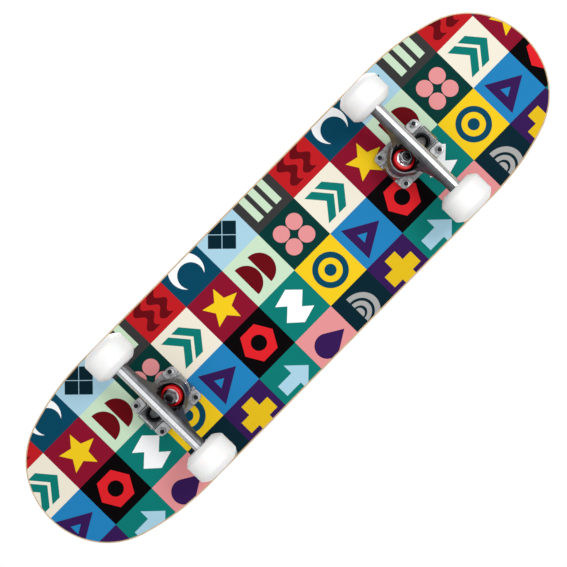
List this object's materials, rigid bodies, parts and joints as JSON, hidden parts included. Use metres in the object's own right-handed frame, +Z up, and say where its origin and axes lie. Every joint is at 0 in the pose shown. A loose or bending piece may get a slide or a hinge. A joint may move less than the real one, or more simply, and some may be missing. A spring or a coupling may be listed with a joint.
{
  "type": "skateboard",
  "caption": "Street skateboard with a pressed maple deck, sprung steering trucks and bearing wheels, its underside printed with coloured tiles of plain shapes.",
  "frame": {"origin": "on the ground under the middle of the deck, the board standing on its wheels", "axes": "+X along the deck towards the nose, +Y across it to the left edge, +Z up"},
  "size_m": [0.7874, 0.2032, 0.1361],
  "materials": {
    "deck_maple": "lacquered maple plies with a printed underside of coloured tiles",
    "grip_grit": "black silicon carbide grit sheet",
    "cast_baseplate": "tumbled cast aluminium",
    "hanger_aluminium": "cast aluminium, its axle tube polished",
    "cup_urethane": "black urethane",
    "bushing_urethane": "red urethane",
    "bright_steel": "bright zinc plating",
    "hardware_steel": "zinc plated steel",
    "black_bolts": "black oxide steel",
    "wheel_urethane": "white cast urethane",
    "bearing_steel": "ground bearing steel",
    "bearing_shield": "black rubber shield",
    "bearing_cage": "natural nylon"
  },
  "bodies": {
    "board": {"deck": "deck_maple", "grip_tape": "grip_grit", "front_baseplate": "cast_baseplate", "front_pivot_cup": "cup_urethane", "front_kingpin": "hardware_steel", "front_kingpin_nut": "bright_steel", "front_washer_boardside": "bright_steel", "front_washer_roadside": "bright_steel", "front_bushing_boardside": "bushing_urethane", "front_bushing_roadside": "bushing_urethane", "front_mounting_bolts": "black_bolts", "front_mounting_nuts": "hardware_steel", "rear_baseplate": "cast_baseplate", "rear_pivot_cup": "cup_urethane", "rear_kingpin": "hardware_steel", "rear_kingpin_nut": "bright_steel", "rear_washer_boardside": "bright_steel", "rear_washer_roadside": "bright_steel", "rear_bushing_boardside": "bushing_urethane", "rear_bushing_roadside": "bushing_urethane", "rear_mounting_bolts": "black_bolts", "rear_mounting_nuts": "hardware_steel"},
    "front_hanger": {"front_hanger": "hanger_aluminium", "front_axle": "bright_steel", "front_axle_nuts": "hardware_steel", "front_speed_washers": "bright_steel", "front_left_bearing_inner_races": "bearing_steel", "front_left_bearing_spacer": "hardware_steel", "front_right_bearing_inner_races": "bearing_steel", "front_right_bearing_spacer": "hardware_steel"},
    "front_left_wheel": {"front_left_wheel": "wheel_urethane", "front_left_bearing_outer_races": "bearing_steel", "front_left_bearing_shields": "bearing_shield"},
    "front_left_cages": {"front_left_bearing_balls": "bearing_steel", "front_left_bearing_cages": "bearing_cage"},
    "front_right_wheel": {"front_right_wheel": "wheel_urethane", "front_right_bearing_outer_races": "bearing_steel", "front_right_bearing_shields": "bearing_shield"},
    "front_right_cages": {"front_right_bearing_balls": "bearing_steel", "front_right_bearing_cages": "bearing_cage"},
    "rear_hanger": {"rear_hanger": "hanger_aluminium", "rear_axle": "bright_steel", "rear_axle_nuts": "hardware_steel", "rear_speed_washers": "bright_steel", "rear_left_bearing_inner_races": "bearing_steel", "rear_left_bearing_spacer": "hardware_steel", "rear_right_bearing_inner_races": "bearing_steel", "rear_right_bearing_spacer": "hardware_steel"},
    "rear_left_wheel": {"rear_left_wheel": "wheel_urethane", "rear_left_bearing_outer_races": "bearing_steel", "rear_left_bearing_shields": "bearing_shield"},
    "rear_left_cages": {"rear_left_bearing_balls": "bearing_steel", "rear_left_bearing_cages": "bearing_cage"},
    "rear_right_wheel": {"rear_right_wheel": "wheel_urethane", "rear_right_bearing_outer_races": "bearing_steel", "rear_right_bearing_shields": "bearing_shield"},
    "rear_right_cages": {"rear_right_bearing_balls": "bearing_steel", "rear_right_bearing_cages": "bearing_cage"}
  },
  "joints": [
    {"name": "front_steer", "type": "hinge", "parent": "board", "child": "front_hanger", "pos_m": [0.1803, 0, 0.051], "axis": [0.9495, 0, 0.3139], "range_deg": [-15, 15], "stiffness_Nm_per_rad": 22, "deforming": ["front_bushing_boardside", "front_bushing_roadside"]},
    {"name": "front_left_spin", "type": "hinge", "parent": "front_hanger", "child": "front_left_wheel", "pos_m": [0.1996, 0.0785, 0.027], "axis": [0, 1, 0], "continuous": true},
    {"name": "front_left_cage_spin", "type": "hinge", "parent": "front_hanger", "child": "front_left_cages", "pos_m": [0.1996, 0.0785, 0.027], "axis": [0, 1, 0], "continuous": true},
    {"name": "front_right_spin", "type": "hinge", "parent": "front_hanger", "child": "front_right_wheel", "pos_m": [0.1996, -0.0785, 0.027], "axis": [0, 1, 0], "continuous": true},
    {"name": "front_right_cage_spin", "type": "hinge", "parent": "front_hanger", "child": "front_right_cages", "pos_m": [0.1996, -0.0785, 0.027], "axis": [0, 1, 0], "continuous": true},
    {"name": "rear_steer", "type": "hinge", "parent": "board", "child": "rear_hanger", "pos_m": [-0.1803, 0, 0.051], "axis": [-0.9495, 0, 0.3139], "range_deg": [-15, 15], "stiffness_Nm_per_rad": 22, "deforming": ["rear_bushing_boardside", "rear_bushing_roadside"]},
    {"name": "rear_left_spin", "type": "hinge", "parent": "rear_hanger", "child": "rear_left_wheel", "pos_m": [-0.1996, 0.0785, 0.027], "axis": [0, 1, 0], "continuous": true},
    {"name": "rear_left_cage_spin", "type": "hinge", "parent": "rear_hanger", "child": "rear_left_cages", "pos_m": [-0.1996, 0.0785, 0.027], "axis": [0, 1, 0], "continuous": true},
    {"name": "rear_right_spin", "type": "hinge", "parent": "rear_hanger", "child": "rear_right_wheel", "pos_m": [-0.1996, -0.0785, 0.027], "axis": [0, 1, 0], "continuous": true},
    {"name": "rear_right_cage_spin", "type": "hinge", "parent": "rear_hanger", "child": "rear_right_cages", "pos_m": [-0.1996, -0.0785, 0.027], "axis": [0, 1, 0], "continuous": true}
  ],
  "couplings": [
    {"joint": "front_left_cage_spin", "follows": "front_left_spin", "ratio": 0.6323},
    {"joint": "front_right_cage_spin", "follows": "front_right_spin", "ratio": 0.6323},
    {"joint": "rear_left_cage_spin", "follows": "rear_left_spin", "ratio": 0.6323},
    {"joint": "rear_right_cage_spin", "follows": "rear_right_spin", "ratio": 0.6323}
  ]
}
